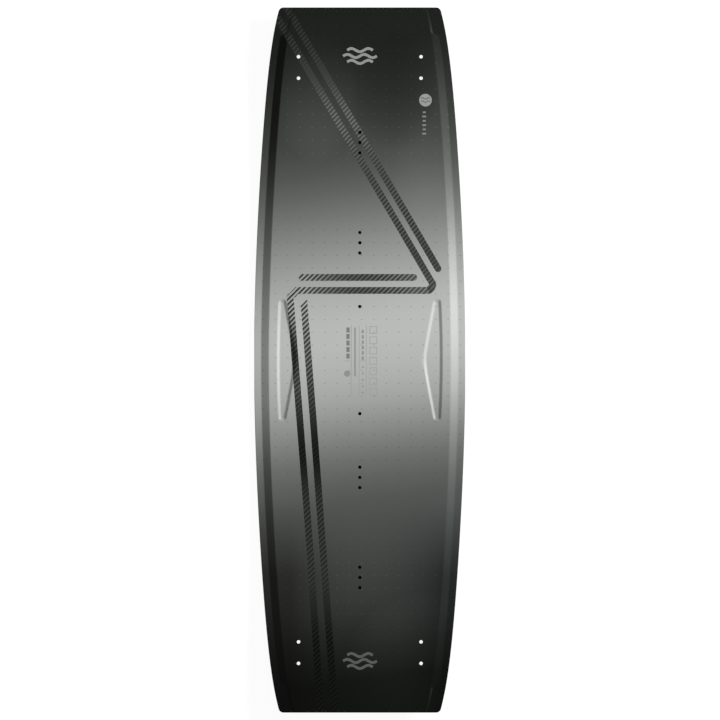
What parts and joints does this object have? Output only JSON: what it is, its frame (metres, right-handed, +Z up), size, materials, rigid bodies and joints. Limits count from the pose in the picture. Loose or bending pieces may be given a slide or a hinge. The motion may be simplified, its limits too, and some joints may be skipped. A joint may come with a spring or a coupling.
{
  "type": "kiteboard",
  "caption": "Twin-tip kiteboard: bare wood-cored board with rocker, concave base, grip recesses, threaded deck inserts and through holes for fins.",
  "frame": {"origin": "under the middle of the board, on the plane that the base rests on", "axes": "+X across the board, +Y along it towards the nose, +Z up through the deck"},
  "size_m": [0.414, 1.38, 0.0421],
  "materials": {
    "printed_topsheet": "satin",
    "base_sheet": "satin",
    "glass_laminate": "satin",
    "paulownia": "matte",
    "abs_rail": "satin",
    "block_plastic": "matte",
    "stainless_steel": "satin"
  },
  "bodies": {
    "root": {"base_laminate": "glass_laminate", "base_sheet": "base_sheet", "deck_laminate": "glass_laminate", "fin_block_nose_left": "block_plastic", "fin_block_nose_right": "block_plastic", "fin_block_tail_left": "block_plastic", "fin_block_tail_right": "block_plastic", "handle_block_nose": "block_plastic", "handle_block_tail": "block_plastic", "handle_insert_nose": "stainless_steel", "handle_insert_tail": "stainless_steel", "pad_block_inner_nose": "block_plastic", "pad_block_inner_tail": "block_plastic", "pad_block_outer_nose": "block_plastic", "pad_block_outer_tail": "block_plastic", "pad_insert_inner_nose_1": "stainless_steel", "pad_insert_inner_nose_2": "stainless_steel", "pad_insert_inner_nose_3": "stainless_steel", "pad_insert_inner_tail_1": "stainless_steel", "pad_insert_inner_tail_2": "stainless_steel", "pad_insert_inner_tail_3": "stainless_steel", "pad_insert_outer_nose_1": "stainless_steel", "pad_insert_outer_nose_2": "stainless_steel", "pad_insert_outer_nose_3": "stainless_steel", "pad_insert_outer_tail_1": "stainless_steel", "pad_insert_outer_tail_2": "stainless_steel", "pad_insert_outer_tail_3": "stainless_steel", "rail_left": "abs_rail", "rail_nose": "abs_rail", "rail_right": "abs_rail", "rail_tail": "abs_rail", "stringer_centre": "paulownia", "stringer_left_1": "paulownia", "stringer_left_2": "paulownia", "stringer_left_3": "paulownia", "stringer_left_4": "paulownia", "stringer_right_1": "paulownia", "stringer_right_2": "paulownia", "stringer_right_3": "paulownia", "stringer_right_4": "paulownia", "topsheet": "printed_topsheet"}
  },
  "joints": []
}
